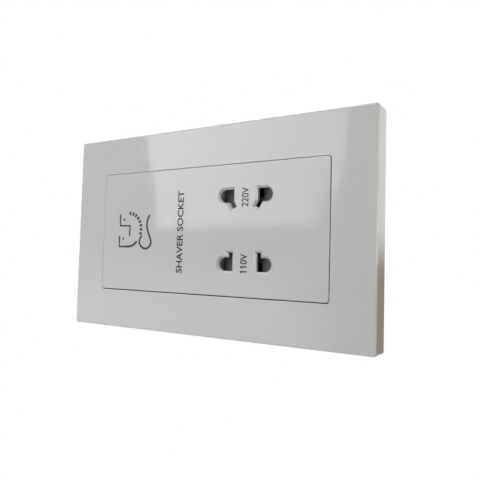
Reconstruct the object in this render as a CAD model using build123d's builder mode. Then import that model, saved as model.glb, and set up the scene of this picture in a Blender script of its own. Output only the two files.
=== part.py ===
from build123d import *
import os
from math import cos, pi, radians, sin

# Shaver supply socket on a double wall plate. A clip-on cover frame hides the mounting frame that two
# screws hold to the wall box. The insert snaps into that frame: a panel with a 220 V and a 110 V outlet,
# shutters behind both, sprung brass contacts, and an isolating transformer in a housing in the wall.
# Millimetres, with X to the right as seen from the room, Y into the wall and Z up. The wall is Y = 0,
# and the origin is midway between the two box screws. A rise is a distance in front of the wall.

# Cover frame
plate_width = 146.0
plate_height = 86.0
plate_rise = 8.5
plate_corner = 1.0
plate_edge = 0.8
cover_wall = 2.0
window_lip = 1.4
window_edge = 0.2
cover_clear = 0.4

# Insert panel and the skirt behind it
border_side = 17.05
panel_height = 52.1
panel_gap = 0.3
panel_lift = 0.1
panel_proud = 0.2
panel_wall = 2.0
panel_corner = 1.0
panel_edge = 0.3
overhang_side = 3.45
overhang_top = 3.05
skirt_wall = 1.6
skirt_corner = 2.0
skirt_reach = 6.0

# Mounting frame on the wall
frame_margin = 4.0
frame_base = 3.2
frame_corner = 3.0
frame_lip = 1.5
frame_lip_rise = 4.8
seat_width = 2.4
seat_fit = 0.3
box_screw_inset = 12.7
box_slot_width = 4.2
box_slot_length = 7.0
box_recess_margin = 1.8
box_recess_depth = 1.4

# Clips: cover to mounting frame, panel to mounting frame, housing to panel
catch_web = 1.3
catch_play = 0.2
hook_inset_x = 29.0
hook_inset_z = 10.0
hook_width = 6.0
hook_thick = 1.2
hook_barb = 0.7
hook_tip_rise = 0.4
hook_flex = 1.0
latch_inset = 11.0
latch_width = 7.0
latch_slit = 0.8
latch_root_rise = 4.0
latch_barb = 1.1
latch_tip_rise = 0.2
snap_count = 4
snap_inset = 10.5
snap_width = 8.0
snap_length = 1.6
snap_depth = 0.9
snap_play = 0.2
snap_edge = 1.6
lip_inset = 4.5
lip_thick = 1.2
lip_reach = 4.2
lip_root = 2.0
lip_fit = 0.2

# Outlets: apertures that take round pins, straight flat pins and, at 220 V, slanted flat pins
hole_flat = 5.5
hole_end = 11.95
hole_radius = 2.68
lead_in = 0.8
flat_pin_slot = 1.9
flat_pin_reach = 4.6
slant_angle = 30.0
slant_slot_width = 2.0
slant_slot_length = 6.7
slant_x = 6.85
slant_z = 1.85

# Shutters, one sliding behind each outlet
slide_gap = 0.2
shutter_thick = 3.5
shutter_travel = 8.2
blade_inner = 3.9
blade_overlap = 0.25
blade_thin = 1.0
rail_margin = 0.45
rail_width = 1.7
end_bar = 1.3
notch_width = 2.3
notch_low = 0.7
track_rib = 1.0
track_gap = 0.3
track_side_gap = 0.37
spring_length = 12.0
spring_wire = 0.4
spring_radius = 1.3
spring_turns = 6
spring_sides = 10
spring_play = 0.05
post_radius = 0.85
post_end_gap = 0.8

# Contact carrier and contacts
carrier_depth = 14.8
carrier_side = 3.15
carrier_end_gap = 2.4
carrier_wall_gap = 2.5
carrier_corner = 1.5
carrier_side_gap = 0.3
carrier_floor = 1.2
carrier_clamp = 3.8
pocket_margin = 0.8
boss_radius = 3.0
far_boss_inset = 2.0
leaf_thick = 0.5
leaf_width = 4.6
leaf_root = 3.7
leaf_front_gap = 2.6
leaf_fold = 1.0
leaf_fold_radius = 0.45
leaf_bow = 7.9
leaf_bow_depth = 4.8
leaf_bow_radius = 1.5
leaf_end = 6.6
leaf_end_gap = 1.0
tag_length = 5.0
strip_width = 3.0
contact_fit = 0.15

# Fasteners
screw_radius = 1.25
thread_play = 0.05
shank_play = 0.25
head_radius = 2.3
head_height = 1.8
head_play = 0.3
driver_slot = 0.6
driver_depth = 0.8
pilot_floor = 1.4
screw_end_gap = 0.6

# Transformer: a three-legged lamination stack with its coil along Z
core_wall_gap = 1.7
core_side_gap = 1.2
core_hole_play = 0.45
core_boss_radius = 3.5
coil_start = 1.3
coil_back_gap = 0.5
bobbin_play = 0.2
bobbin_wall = 1.0
bobbin_overhang = 7.2
coil_play = 0.1
coil_inset = 0.7
coil_corner = 3.0
cutout_width = 12.0
cutout_height = 5.6
cutout_thick = 3.2
cutout_corner = 0.8

# Rear housing
housing_wall = 1.8
housing_depth = 36.0
housing_edge = 1.2
step_depth = 24.0
deep_side = 5.0
vent_count = 6
vent_width = 2.2
vent_length = 11.0

# Terminal block on the step of the housing
block_height = 16.0
block_depth = 12.0
block_wall = 2.0
block_edge = 0.8
pole_pitch = 10.0
pole_names = ("live", "neutral", "earth")
pole_margin = 0.5
tunnel_width = 6.6
tunnel_depth = 8.0
tunnel_fit = 0.15
wire_bore_radius = 1.9
wire_bore_depth = 3.0
wire_entry_play = 0.3
tail_thick = 1.2
tail_width = 4.0
tail_reach = 4.7
clamp_screw_radius = 1.95
clamp_screw_length = 5.0
clamp_screw_sunk = 0.5
clamp_entry_play = 0.5
ear_length = 5.0
ear_width = 9.0
ear_thick = 3.5
ear_boss_radius = 2.7
ear_boss_length = 6.0

# Leads inside the housing
lead_radius = 0.8
lead_sides = 8
lead_bend = 1.2
lead_pitch = 2.6
lead_room = 5.6
lead_wall_gap = 1.3
lead_step_gap = 2.7
lead_coil_gap = 0.9
lead_end_pitch = 4.0
tag_lane = 3.5
strip_lane = 1.6

# Rises and places that follow from the sizes above
panel_front = plate_rise + panel_proud
panel_back = panel_front - panel_wall
panel_width = plate_width - 2 * border_side
window_width = panel_width + 2 * panel_gap
window_height = panel_height + 2 * panel_gap
skirt_width = panel_width - 2 * overhang_side
skirt_height = panel_height - 2 * overhang_top
inner_width = skirt_width - 2 * skirt_wall
inner_height = skirt_height - 2 * skirt_wall
frame_width = plate_width - 2 * frame_margin
frame_height = plate_height - 2 * frame_margin
lip_back = frame_base + cover_clear
box_screw_x = plate_width / 2 - box_screw_inset
catch_rise = frame_base - catch_web - catch_play
hook_x = plate_width / 2 - hook_inset_x
hook_z = plate_height / 2 - hook_inset_z
latch_z = skirt_height / 2 - latch_inset
snap_pitch = (skirt_width - 2 * snap_inset) / (snap_count - 1)
snap_places = [snap_pitch * (n - (snap_count - 1) / 2) for n in range(snap_count)]
lip_outer = inner_height / 2 - lip_fit
lip_inner = lip_outer - lip_thick
shutter_front = panel_back - slide_gap
shutter_back = shutter_front - shutter_thick
shutter_middle = (shutter_front + shutter_back) / 2
blade_outer = hole_end + blade_overlap
slant_low = slant_z + slant_slot_length / 2 * cos(radians(slant_angle))
slant_low += slant_slot_width / 2 * sin(radians(slant_angle))
rail_top = hole_radius + rail_margin
rail_low = slant_low + rail_margin
spring_seat = blade_outer + end_bar
spring_stop = spring_seat + spring_length
spring_offset = (rail_top - rail_low) / 2
post_length = spring_length - shutter_travel - post_end_gap
track_top = rail_top + rail_width + track_gap
track_low = rail_low + rail_width + track_gap
track_start = blade_outer + track_gap
carrier_front = shutter_back - slide_gap
carrier_back = carrier_front - carrier_depth
carrier_right = inner_width / 2 - carrier_wall_gap
carrier_height = 2 * (lip_inner - carrier_side_gap)
outlet_x = carrier_right - carrier_end_gap - spring_stop
outlet_z = lip_inner - track_side_gap - track_rib - track_top
outlets = (("220", 1), ("110", -1))
pocket_inner = leaf_root - leaf_thick / 2 - contact_fit
pocket_outer = hole_end + pocket_margin
pocket_floor = carrier_back + carrier_floor
carrier_left = outlet_x - pocket_outer - carrier_side
boss_places = [(outlet_x, 0), (outlet_x + spring_stop - far_boss_inset, 0)]
pilot_radius = screw_radius + thread_play
shank_hole_radius = screw_radius + shank_play
room_x = skirt_width / 2 - housing_wall
room_z = skirt_height / 2 - housing_wall
housing_inside = housing_depth - housing_wall
step_inside = step_depth - housing_wall
core_left = core_wall_gap - room_x
core_right = carrier_left - lead_room
core_x = (core_left + core_right) / 2
core_width = core_right - core_left
core_leg = core_width / 3
core_height = 2 * (room_z - core_side_gap)
core_window = core_height - core_leg
core_screw_x = core_width / 2 - core_leg / 4
core_screw_z = core_height / 2 - core_leg / 4
core_screw_places = [
    (core_x + across * core_screw_x, up * core_screw_z) for across in (-1, 1) for up in (-1, 1)
]
flange_x = 2 * core_leg - 4 * bobbin_play
flange_y = housing_inside - coil_back_gap - coil_start
flange_z = core_window / 2 - bobbin_play
core_stack = flange_y - 2 * bobbin_overhang
core_middle = coil_start + flange_y / 2
core_front = core_middle - core_stack / 2
core_back = core_middle + core_stack / 2
tube_x = core_leg + 2 * (bobbin_play + bobbin_wall)
tube_y = core_stack + 2 * (bobbin_play + bobbin_wall)
coil_front = coil_start + coil_inset
coil_right = core_x + flange_x / 2 - coil_inset
deep_right = core_right + deep_side
vent_pitch = core_width / (vent_count + 1)
block_x = (deep_right + skirt_width / 2) / 2
block_back = step_depth + block_depth
tunnel_back = block_back - block_wall
tunnel_front = tunnel_back - tunnel_depth
tunnel_height = block_height - 2 * (block_wall + tunnel_fit)
wire_y = tunnel_front + wire_bore_depth
poles = [block_x + pole_pitch * (n - (len(pole_names) - 1) / 2) for n in range(len(pole_names))]
block_width = pole_pitch * len(pole_names) + 2 * pole_margin
ear_screws = [(block_x + side * (block_width + ear_length) / 2, 0) for side in (-1, 1)]

os.makedirs("parts", exist_ok=True)


def level(rise):
    """A plane along the wall, a rise in front of it, facing the room."""
    return Plane.XZ.offset(rise)


def bar(x0, x1, z0, z1, mode=Mode.ADD):
    """A rectangle between two places along X and two along Z."""
    with Locations(((x0 + x1) / 2, (z0 + z1) / 2)):
        Rectangle(abs(x1 - x0), abs(z1 - z0), mode=mode)


def screws(places, seat, tip, head):
    """Slotted screws at these places: heads on their seat, towards the room if head is 1, and shanks."""
    with BuildSketch(level(seat)) as heads:
        with Locations(*places):
            Circle(head_radius)
    extrude(heads.sketch, amount=head * head_height)
    with BuildSketch(level(seat)) as shanks:
        with Locations(*places):
            Circle(screw_radius)
    extrude(shanks.sketch, amount=tip - seat)
    with BuildSketch(level(seat + head * head_height)) as slots:
        with Locations(*places):
            Rectangle(3 * head_radius, driver_slot)
    extrude(slots.sketch, amount=-head * driver_depth, mode=Mode.SUBTRACT)


def leaf(side, tail):
    """Section of a hairpin contact on one side of an outlet, from its tail to its free end."""
    fold_y = leaf_front_gap - carrier_front
    with BuildLine() as path:
        FilletPolyline(
            (outlet_x + side * leaf_root, tail),
            (outlet_x + side * leaf_root, fold_y),
            (outlet_x + side * (leaf_root + leaf_fold), fold_y),
            (outlet_x + side * leaf_bow, fold_y + leaf_bow_depth),
            (outlet_x + side * leaf_end, -pocket_floor - leaf_end_gap),
            radius=[leaf_fold_radius, leaf_fold_radius, leaf_bow_radius],
        )
    trace(path.edges(), line_width=leaf_thick)


def keep(builder, name):
    """Names a finished piece and writes its file."""
    builder.part.label = name
    export_step(builder.part, f"parts/{name}.step")


def lead(name, *route):
    """An insulated wire along a route, with a short slant at each corner."""
    corners = [Vector(*place) for place in route]
    bends = [corners[0]]
    for before, corner, after in zip(corners, corners[1:], corners[2:]):
        bends.append(corner + (before - corner).normalized() * lead_bend)
        bends.append(corner + (after - corner).normalized() * lead_bend)
    bends.append(corners[-1])
    with BuildPart() as wire:
        with BuildLine() as path:
            Polyline(*bends)
        with BuildSketch(Plane(origin=path.line @ 0, z_dir=path.line % 0)) as section:
            RegularPolygon(lead_radius, lead_sides)
        sweep(section.sketch, path=path.line, transition=Transition.RIGHT)
    keep(wire, f"lead_{name}")


# Cover frame: a hollow moulding with a lip round its window and four hooks behind its face
with BuildPart() as cover_frame:
    with BuildSketch(level(0)):
        RectangleRounded(plate_width, plate_height, plate_corner)
    extrude(amount=plate_rise)
    front_edges = cover_frame.faces().sort_by(Axis.Y)[0].edges()
    fillet(front_edges, min(plate_edge, 0.9 * plate_corner))
    with BuildSketch(level(0)):
        Rectangle(plate_width - 2 * cover_wall, plate_height - 2 * cover_wall)
    extrude(amount=plate_rise - cover_wall, mode=Mode.SUBTRACT)
    with BuildSketch(level(lip_back)):
        Rectangle(window_width + 2 * window_lip, window_height + 2 * window_lip)
    extrude(amount=plate_rise - cover_wall - lip_back)
    with BuildSketch(level(0)):
        with Locations((0, -panel_lift)):
            RectangleRounded(window_width, window_height, panel_corner + panel_gap)
    extrude(amount=plate_rise, mode=Mode.SUBTRACT)
    window_rim = cover_frame.faces().sort_by(Axis.Y)[0].inner_wires()[0].edges()
    fillet(window_rim, window_edge)
    for side in (-1, 1):
        for place in (-hook_x, hook_x):
            with BuildSketch(Plane.YZ.offset(place - hook_width / 2)):
                with BuildLine():
                    Polyline(
                        (cover_wall - plate_rise, side * (hook_z - hook_thick / 2)),
                        (cover_wall - plate_rise, side * (hook_z + hook_thick / 2)),
                        (-catch_rise, side * (hook_z + hook_thick / 2)),
                        (-catch_rise, side * (hook_z + hook_thick / 2 + hook_barb)),
                        (-hook_tip_rise, side * hook_z),
                        (-hook_tip_rise, side * (hook_z - hook_thick / 2)),
                        close=True,
                    )
                make_face()
            extrude(amount=hook_width)
keep(cover_frame, "cover_frame")

# Mounting frame: a base plate with a raised seat for the panel, slots for the box screws and hook catches
with BuildPart() as mounting_frame:
    with BuildSketch(level(0)):
        RectangleRounded(frame_width, frame_height, frame_corner)
    extrude(amount=frame_base)
    with BuildSketch(level(frame_base)):
        RectangleRounded(frame_width, frame_height, frame_corner)
        Rectangle(frame_width - 2 * frame_lip, frame_height - 2 * frame_lip, mode=Mode.SUBTRACT)
    extrude(amount=frame_lip_rise - frame_base)
    seat_margin = 2 * (seat_fit + seat_width)
    with BuildSketch(level(frame_base)):
        Rectangle(skirt_width + seat_margin, skirt_height + seat_margin)
    extrude(amount=panel_back - frame_base)
    with BuildSketch(level(0)):
        RectangleRounded(skirt_width + 2 * seat_fit, skirt_height + 2 * seat_fit, skirt_corner)
    extrude(amount=panel_back, mode=Mode.SUBTRACT)
    box_screws = [(-box_screw_x, 0), (box_screw_x, 0)]
    with BuildSketch(level(0)):
        with Locations(*box_screws):
            SlotOverall(box_slot_length, box_slot_width)
    extrude(amount=frame_base, mode=Mode.SUBTRACT)
    with BuildSketch(level(frame_base - box_recess_depth)):
        with Locations(*box_screws):
            SlotOverall(box_slot_length + 2 * box_recess_margin, box_slot_width + 2 * box_recess_margin)
    extrude(amount=box_recess_depth, mode=Mode.SUBTRACT)
    catch_half = hook_width / 2 + catch_play
    catch_inner = hook_z - hook_thick / 2 - hook_flex
    catch_outer = hook_z + hook_thick / 2 + catch_play
    for side in (-1, 1):
        for place in (-hook_x, hook_x):
            left, right = place - catch_half, place + catch_half
            with BuildSketch(level(0)):
                bar(left, right, side * catch_inner, side * catch_outer)
            extrude(amount=frame_base, mode=Mode.SUBTRACT)
            with BuildSketch(level(0)):
                bar(left, right, side * catch_inner, side * (catch_outer + hook_barb))
            extrude(amount=frame_base - catch_web, mode=Mode.SUBTRACT)
    latch_half = latch_width / 2 + catch_play
    latch_outer = skirt_width / 2 + latch_barb + catch_play
    with BuildSketch(level(0)):
        for place in (-latch_z, latch_z):
            bar(-latch_outer, latch_outer, place - latch_half, place + latch_half)
    extrude(amount=frame_base - catch_web, mode=Mode.SUBTRACT)
keep(mounting_frame, "mounting_frame")

# Socket panel: the face with its chamfered apertures, and behind it the shutter tracks and a latched skirt
with BuildPart() as socket_panel:
    with BuildSketch(level(panel_back)):
        RectangleRounded(panel_width, panel_height, panel_corner)
    extrude(amount=panel_wall)
    face_edges = socket_panel.faces().sort_by(Axis.Y)[0].edges()
    fillet(face_edges, min(panel_edge, 0.9 * panel_corner))
    hole_round = hole_end - hole_radius
    with BuildSketch(level(panel_back)):
        for name, up in outlets:
            middle = up * outlet_z
            for side in (-1, 1):
                flat = outlet_x + side * hole_flat
                bar(flat, outlet_x + side * hole_round, middle - hole_radius, middle + hole_radius)
                with Locations((outlet_x + side * hole_round, middle)):
                    Circle(hole_radius)
                if name == "110":
                    bar(flat, flat + side * flat_pin_slot, middle, middle + flat_pin_reach)
                else:
                    with Locations((outlet_x + side * slant_x, middle - slant_z)):
                        Rectangle(slant_slot_width, slant_slot_length, rotation=-side * slant_angle)
    extrude(amount=panel_wall, mode=Mode.SUBTRACT)
    rims = socket_panel.faces().sort_by(Axis.Y)[0].inner_wires()
    chamfer([edge for rim in rims for edge in rim.edges()], lead_in)
    with BuildSketch(level(panel_back)):
        RectangleRounded(skirt_width, skirt_height, skirt_corner)
        Rectangle(inner_width, inner_height, mode=Mode.SUBTRACT)
    extrude(amount=-panel_back - skirt_reach)
    with BuildSketch(level(panel_back)):
        for name, up in outlets:
            left, right = outlet_x - track_start, outlet_x + spring_stop
            low, high = up * (outlet_z - track_low), up * (outlet_z + track_top)
            bar(left - track_rib, right + track_rib, low - up * track_rib, high + up * track_rib)
            bar(left, right, low, high, mode=Mode.SUBTRACT)
        with Locations(*boss_places):
            Circle(boss_radius)
    extrude(amount=carrier_front - panel_back)
    with BuildSketch(level(carrier_front)):
        with Locations(*boss_places):
            Circle(pilot_radius)
    extrude(amount=panel_front - pilot_floor - carrier_front, mode=Mode.SUBTRACT)
    with BuildSketch(level(snap_edge - skirt_reach)):
        for place in snap_places:
            half = snap_width / 2 + snap_play
            bar(place - half, place + half, -skirt_height, skirt_height)
    extrude(amount=snap_length + 2 * snap_play, mode=Mode.SUBTRACT)
    with BuildSketch(level(latch_root_rise)):
        for place in (-latch_z, latch_z):
            for edge in (-1, 1):
                inner = place + edge * latch_width / 2
                bar(-skirt_width, -inner_width / 2, inner, inner + edge * latch_slit)
                bar(skirt_width, inner_width / 2, inner, inner + edge * latch_slit)
    extrude(amount=-latch_root_rise - skirt_reach, mode=Mode.SUBTRACT)
    for place in (-latch_z, latch_z):
        for side in (-1, 1):
            with BuildSketch(Plane.XY.offset(place - latch_width / 2)):
                with BuildLine():
                    Polyline(
                        (side * inner_width / 2, -catch_rise),
                        (side * (skirt_width / 2 + latch_barb), -catch_rise),
                        (side * skirt_width / 2, -latch_tip_rise),
                        (side * inner_width / 2, -latch_tip_rise),
                        close=True,
                    )
                make_face()
            extrude(amount=latch_width)
keep(socket_panel, "socket_panel")

# Shutters: two ramped blades between rails. Pins on both ramps push the slider along +X
for name, up in outlets:
    with BuildPart() as shutter:
        middle = up * outlet_z
        top, low = middle + up * rail_top, middle - up * rail_low
        left, right = outlet_x - blade_outer, outlet_x + spring_seat
        with BuildSketch(level(shutter_back)):
            bar(left, right, top, top + up * rail_width)
            bar(left, right, low, low - up * rail_width)
            bar(outlet_x + blade_outer, right, top, low)
        extrude(amount=shutter_thick)
        for start, end in ((-blade_outer, -blade_inner), (blade_inner, blade_outer)):
            with BuildSketch(Plane.XY.offset(min(top, low))):
                with BuildLine():
                    Polyline(
                        (outlet_x + start, -shutter_back),
                        (outlet_x + end, -shutter_back),
                        (outlet_x + end, -shutter_front),
                        (outlet_x + start, -shutter_back - blade_thin),
                        close=True,
                    )
                make_face()
            extrude(amount=abs(top - low))
        with BuildSketch(level(shutter_back)):
            notch_left = outlet_x + blade_inner
            bar(notch_left, notch_left + notch_width, top, middle - up * notch_low)
        extrude(amount=shutter_thick, mode=Mode.SUBTRACT)
        with BuildSketch(Plane.YZ.offset(right)):
            with Locations((-shutter_middle, middle + up * spring_offset)):
                Circle(post_radius)
        extrude(amount=post_length)
    keep(shutter, f"shutter_{name}")

# Return springs: wire coils between each shutter's post and the end of its track
for name, up in outlets:
    wire_start = outlet_x + spring_seat + spring_play + spring_wire / 2
    wire_run = spring_length - spring_wire - 2 * spring_play
    spring_z = up * (outlet_z + spring_offset)
    wire_steps = spring_turns * spring_sides
    with BuildPart() as spring:
        with BuildLine() as coil:
            Polyline(
                *[
                    (
                        wire_start + wire_run * n / wire_steps,
                        spring_radius * cos(2 * pi * n / spring_sides) - shutter_middle,
                        spring_radius * sin(2 * pi * n / spring_sides) + spring_z,
                    )
                    for n in range(wire_steps + 1)
                ]
            )
        with BuildSketch(Plane(origin=coil.line @ 0, z_dir=coil.line % 0)):
            RegularPolygon(spring_wire / 2, 6)
        sweep(transition=Transition.RIGHT)
    keep(spring, f"shutter_spring_{name}")

# Contact carrier: a block on the panel's bosses with a pocket behind each aperture
with BuildPart() as contact_carrier:
    with BuildSketch(level(carrier_back)):
        with Locations(((carrier_left + carrier_right) / 2, 0)):
            RectangleRounded(carrier_right - carrier_left, carrier_height, carrier_corner)
    extrude(amount=carrier_depth)
    pocket_height = hole_radius + slant_low + 2 * pocket_margin
    pocket_offset = (hole_radius - slant_low) / 2
    with BuildSketch(level(pocket_floor)):
        for name, up in outlets:
            for side in (-1, 1):
                pocket_x = outlet_x + side * (pocket_inner + pocket_outer) / 2
                with Locations((pocket_x, up * (outlet_z + pocket_offset))):
                    Rectangle(pocket_outer - pocket_inner, pocket_height)
    extrude(amount=carrier_front - pocket_floor, mode=Mode.SUBTRACT)
    slit_half = leaf_thick / 2 + contact_fit
    with BuildSketch(level(carrier_back)):
        for name, up in outlets:
            for side in (-1, 1):
                with Locations((outlet_x + side * leaf_root, up * outlet_z)):
                    Rectangle(2 * slit_half, leaf_width + 2 * contact_fit)
        with Locations(*boss_places):
            Circle(shank_hole_radius)
    extrude(amount=carrier_depth, mode=Mode.SUBTRACT)
    with BuildSketch(level(carrier_back)):
        with Locations(*boss_places):
            Circle(head_radius + head_play)
    extrude(amount=carrier_depth - carrier_clamp, mode=Mode.SUBTRACT)
keep(contact_carrier, "contact_carrier")

with BuildPart() as carrier_screws:
    screws(boss_places, carrier_front - carrier_clamp, panel_front - pilot_floor - screw_end_gap, -1)
keep(carrier_screws, "carrier_screws")

# Contacts: brass hairpin leaves that bow into the pockets. A strip joins the pair on the left
with BuildPart() as common_contact:
    strip_front = contact_fit - carrier_back
    for name, up in outlets:
        with BuildSketch(Plane.XY.offset(up * outlet_z - leaf_width / 2)):
            leaf(-1, strip_front + leaf_thick)
        extrude(amount=leaf_width)
    strip_right = outlet_x - leaf_root + leaf_thick / 2
    with BuildSketch(level(-strip_front)):
        strip_end = outlet_z + leaf_width / 2
        bar(strip_right - strip_width, strip_right, -strip_end, strip_end)
    extrude(amount=-leaf_thick)
    with BuildSketch(level(-strip_front)):
        bar(strip_right - strip_width, strip_right, -leaf_thick / 2, leaf_thick / 2)
    extrude(amount=-leaf_thick - tag_length)
keep(common_contact, "common_contact")

for name, up in outlets:
    with BuildPart() as contact:
        with BuildSketch(Plane.XY.offset(up * outlet_z - leaf_width / 2)):
            leaf(1, tag_length - carrier_back)
        extrude(amount=leaf_width)
    keep(contact, f"contact_{name}")

# Rear housing: a stepped tub that snaps into the skirt, deep behind the transformer
with BuildPart() as rear_housing:
    with BuildSketch(level(-skirt_reach)):
        RectangleRounded(skirt_width, skirt_height, skirt_corner)
    extrude(amount=skirt_reach - housing_depth)
    fillet(rear_housing.faces().sort_by(Axis.Y)[-1].edges(), housing_edge)
    with BuildSketch(level(-step_depth)):
        bar(deep_right, skirt_width, -skirt_height, skirt_height)
    extrude(amount=step_depth - housing_depth, mode=Mode.SUBTRACT)
    with BuildSketch(level(-skirt_reach)):
        bar(-room_x, room_x, -room_z, room_z)
    extrude(amount=skirt_reach - step_inside, mode=Mode.SUBTRACT)
    with BuildSketch(level(-step_inside)):
        bar(-room_x, deep_right - housing_wall, -room_z, room_z)
    extrude(amount=step_inside - housing_inside, mode=Mode.SUBTRACT)
    with BuildSketch(level(lip_reach - skirt_reach)):
        for side in (-1, 1):
            bar(lip_inset - skirt_width / 2, skirt_width / 2 - lip_inset, side * lip_inner, side * lip_outer)
    extrude(amount=-lip_reach - lip_root)
    snap_back = skirt_reach - snap_edge - snap_play
    for side in (-1, 1):
        for place in snap_places:
            with BuildSketch(Plane.YZ.offset(place - snap_width / 2)):
                with BuildLine():
                    Polyline(
                        (snap_back - snap_length, side * lip_outer),
                        (snap_back, side * (lip_outer + snap_depth)),
                        (snap_back, side * lip_outer),
                        close=True,
                    )
                make_face()
            extrude(amount=snap_width)
    with BuildSketch(level(-core_back)):
        with Locations(*core_screw_places):
            Circle(core_boss_radius)
    extrude(amount=core_back - housing_inside)
    with BuildSketch(level(-core_back)):
        with Locations(*core_screw_places):
            Circle(pilot_radius)
    extrude(amount=core_back - housing_inside, mode=Mode.SUBTRACT)
    with BuildSketch(level(-step_inside)):
        with Locations(*ear_screws):
            Circle(ear_boss_radius)
    extrude(amount=ear_boss_length)
    with BuildSketch(level(-step_depth)):
        with Locations(*ear_screws):
            Circle(pilot_radius)
    extrude(amount=ear_boss_length + housing_wall - pilot_floor, mode=Mode.SUBTRACT)
    with BuildSketch(level(-step_depth)):
        with Locations(*[(pole, 0) for pole in poles]):
            Rectangle(tail_thick + 2 * tunnel_fit, tail_width + 2 * tunnel_fit)
    extrude(amount=housing_wall, mode=Mode.SUBTRACT)
    with BuildSketch(Plane.XY.offset(-skirt_height)):
        with Locations((core_x, core_middle)):
            with GridLocations(vent_pitch, 0, vent_count, 1):
                Rectangle(vent_width, vent_length)
    extrude(amount=2 * skirt_height, mode=Mode.SUBTRACT)
keep(rear_housing, "rear_housing")

# Transformer core: a stack of laminations with a window each side of the middle leg
with BuildPart() as transformer_core:
    with BuildSketch(level(-core_front)):
        with Locations((core_x, 0)):
            Rectangle(core_width, core_height)
        for side in (-1, 1):
            with Locations((core_x + side * 0.75 * core_leg, 0)):
                Rectangle(core_leg / 2, core_window, mode=Mode.SUBTRACT)
        with Locations(*core_screw_places):
            Circle(screw_radius + core_hole_play, mode=Mode.SUBTRACT)
    extrude(amount=-core_stack)
keep(transformer_core, "transformer_core")

with BuildPart() as core_screws:
    screws(core_screw_places, -core_front, screw_end_gap - housing_inside, 1)
keep(core_screws, "core_screws")

# Bobbin: a square tube on the middle leg with three flanges that part the two windings
coil_centre = Plane(origin=(core_x, core_middle, 0), x_dir=(1, 0, 0), z_dir=(0, 0, 1))
with BuildPart() as bobbin:
    with BuildSketch(coil_centre.offset(-flange_z)):
        Rectangle(tube_x, tube_y)
    extrude(amount=2 * flange_z)
    for bottom in (-flange_z, -bobbin_wall / 2, flange_z - bobbin_wall):
        with BuildSketch(coil_centre.offset(bottom)):
            RectangleRounded(flange_x, flange_y, coil_corner)
        extrude(amount=bobbin_wall)
    with BuildSketch(coil_centre.offset(-flange_z)):
        Rectangle(core_leg + 2 * bobbin_play, core_stack + 2 * bobbin_play)
    extrude(amount=2 * flange_z, mode=Mode.SUBTRACT)
keep(bobbin, "bobbin")

# Windings: the primary in the upper half of the bobbin and the tapped secondary in the lower half
coil_height = flange_z - 1.5 * bobbin_wall - 2 * coil_play
for name, bottom in (
    ("primary_winding", bobbin_wall / 2 + coil_play),
    ("secondary_winding", -bobbin_wall / 2 - coil_play - coil_height),
):
    with BuildPart() as winding:
        with BuildSketch(coil_centre.offset(bottom)):
            RectangleRounded(flange_x - 2 * coil_inset, flange_y - 2 * coil_inset, coil_corner)
            Rectangle(tube_x + 2 * coil_play, tube_y + 2 * coil_play, mode=Mode.SUBTRACT)
        extrude(amount=coil_height)
    keep(winding, name)

# Thermal cut-out: a flat sealed case on the front of the primary winding
with BuildPart() as thermal_cutout:
    with BuildSketch(level(-coil_front)):
        with Locations((core_x, flange_z / 2)):
            RectangleRounded(cutout_width, cutout_height, cutout_corner)
    extrude(amount=cutout_thick)
keep(thermal_cutout, "thermal_cutout")

# Terminal block: three shrouded poles between two screwed ears, wires in from below
with BuildPart() as terminal_block:
    with BuildSketch(level(-step_depth)):
        with Locations((block_x, 0)):
            Rectangle(block_width, block_height)
    extrude(amount=-block_depth)
    chamfer(terminal_block.faces().sort_by(Axis.Y)[-1].edges(), block_edge)
    with BuildSketch(level(-step_depth)):
        with Locations((block_x, 0)):
            Rectangle(block_width + 2 * ear_length, ear_width)
    extrude(amount=-ear_thick)
    with BuildSketch(level(-step_depth)):
        with Locations(*ear_screws):
            Circle(shank_hole_radius)
    extrude(amount=-ear_thick, mode=Mode.SUBTRACT)
    with BuildSketch(level(-step_depth)):
        for pole in poles:
            half_width, half_height = tunnel_width / 2 + tunnel_fit, tunnel_height / 2 + tunnel_fit
            bar(pole - half_width, pole + half_width, -half_height, half_height)
    extrude(amount=step_depth - tunnel_back, mode=Mode.SUBTRACT)
    with BuildSketch(level(-tunnel_back)):
        with Locations(*[(pole, 0) for pole in poles]):
            Circle(clamp_screw_radius + clamp_entry_play)
    extrude(amount=-block_wall, mode=Mode.SUBTRACT)
    with BuildSketch(Plane.XY.offset(-block_height / 2)):
        with Locations(*[(pole, wire_y) for pole in poles]):
            Circle(wire_bore_radius + wire_entry_play)
    extrude(amount=block_wall, mode=Mode.SUBTRACT)
keep(terminal_block, "terminal_block")

with BuildPart() as block_screws:
    ear_tip = ear_boss_length + housing_wall - pilot_floor - screw_end_gap
    screws(ear_screws, -step_depth - ear_thick, ear_tip - step_depth, -1)
keep(block_screws, "block_screws")

# Terminals: brass tunnels with a cross bore for the wire, a tapped hole and a tail through the housing
for name, pole in zip(pole_names, poles):
    with BuildPart() as terminal:
        with BuildSketch(level(-tunnel_front)):
            with Locations((pole, 0)):
                Rectangle(tunnel_width, tunnel_height)
        extrude(amount=-tunnel_depth)
        with BuildSketch(level(-tunnel_front)):
            with Locations((pole, 0)):
                Rectangle(tail_thick, tail_width)
        extrude(amount=tunnel_front - step_inside + tail_reach)
        with BuildSketch(Plane.XY.offset(-tunnel_height / 2)):
            with Locations((pole, wire_y)):
                Circle(wire_bore_radius)
        extrude(amount=tunnel_height, mode=Mode.SUBTRACT)
        with BuildSketch(level(-tunnel_back)):
            with Locations((pole, 0)):
                Circle(clamp_screw_radius + thread_play)
        extrude(amount=tunnel_back - wire_y, mode=Mode.SUBTRACT)
    keep(terminal, f"terminal_{name}")

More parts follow.
